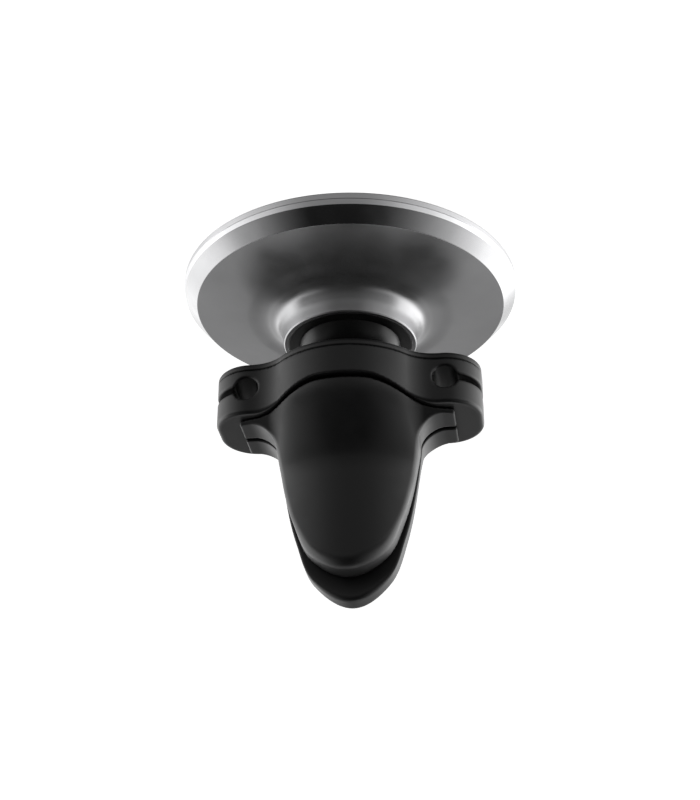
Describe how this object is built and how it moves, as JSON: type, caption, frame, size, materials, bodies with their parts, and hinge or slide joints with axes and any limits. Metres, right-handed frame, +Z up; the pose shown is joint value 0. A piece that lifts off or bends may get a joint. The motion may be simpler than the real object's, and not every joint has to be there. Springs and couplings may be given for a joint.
{
  "type": "car phone mount",
  "caption": "Magnetic phone mount that clips on a car air vent: a round head on a ball joint, and two sprung jaws.",
  "frame": {"origin": "centre of the head's phone contact face", "axes": "+Y from the contact face through the head and ball joint to the tips of the jaws, +Z up when clipped to a vent, +X across"},
  "size_m": [0.042, 0.0424, 0.042],
  "materials": {
    "head_metal": "satin",
    "bezel_metal": "satin",
    "silicone_pad": "matte",
    "adhesive_film": "matte",
    "black_plastic": "matte",
    "steel": "satin",
    "nickel_magnet": "gloss",
    "satin_black_plastic": "satin",
    "acetal": "satin",
    "black_coated_metal": "satin",
    "collar_plastic": "satin",
    "jaw_rubber": "matte",
    "grip_rubber": "matte"
  },
  "bodies": {
    "clip": {"clip_collar": "collar_plastic", "collar_cover": "collar_plastic", "cover_screws": "steel", "stud_screw": "steel", "ball_stud": "black_coated_metal", "upper_jaw_pin": "steel", "lower_jaw_pin": "steel"},
    "pan_liner": {"ball_liner": "acetal"},
    "tilt_seat": {"socket_seat": "acetal"},
    "head": {"head_shell": "head_metal", "front_bezel": "bezel_metal", "contact_pad": "silicone_pad", "pad_adhesive": "adhesive_film", "front_plate": "black_plastic", "head_screws": "steel", "magnet_tray": "black_plastic", "magnet_1": "nickel_magnet", "magnet_2": "nickel_magnet", "magnet_3": "nickel_magnet", "magnet_4": "nickel_magnet", "magnet_5": "nickel_magnet", "magnet_6": "nickel_magnet", "yoke_ring": "steel", "retaining_ring": "satin_black_plastic", "disc_spring": "steel"},
    "upper_arm": {"upper_jaw": "jaw_rubber", "upper_jaw_core": "black_plastic", "upper_grip_pad": "grip_rubber", "upper_jaw_spring": "steel"},
    "lower_arm": {"lower_jaw": "jaw_rubber", "lower_jaw_core": "black_plastic", "lower_grip_pad": "grip_rubber", "lower_jaw_spring": "steel"}
  },
  "joints": [
    {"name": "ball_pan", "type": "hinge", "parent": "clip", "child": "pan_liner", "pos_m": [0, 0.00604, 0], "axis": [0, 0, 1], "range_deg": [-15, 15]},
    {"name": "ball_tilt", "type": "hinge", "parent": "pan_liner", "child": "tilt_seat", "pos_m": [0, 0.00604, 0], "axis": [1, 0, 0], "range_deg": [-15, 15]},
    {"name": "head_spin", "type": "hinge", "parent": "tilt_seat", "child": "head", "pos_m": [0, 0.00604, 0], "axis": [0, 1, 0], "continuous": true},
    {"name": "upper_jaw_open", "type": "hinge", "parent": "clip", "child": "upper_arm", "pos_m": [0, 0.0172, 0.007], "axis": [1, 0, 0], "range_deg": [0, 5], "stiffness_Nm_per_rad": 0.15, "springref_deg": -17.19},
    {"name": "lower_jaw_open", "type": "hinge", "parent": "clip", "child": "lower_arm", "pos_m": [0, 0.0172, -0.007], "axis": [-1, 0, 0], "range_deg": [0, 5], "stiffness_Nm_per_rad": 0.15, "springref_deg": -17.19}
  ]
}
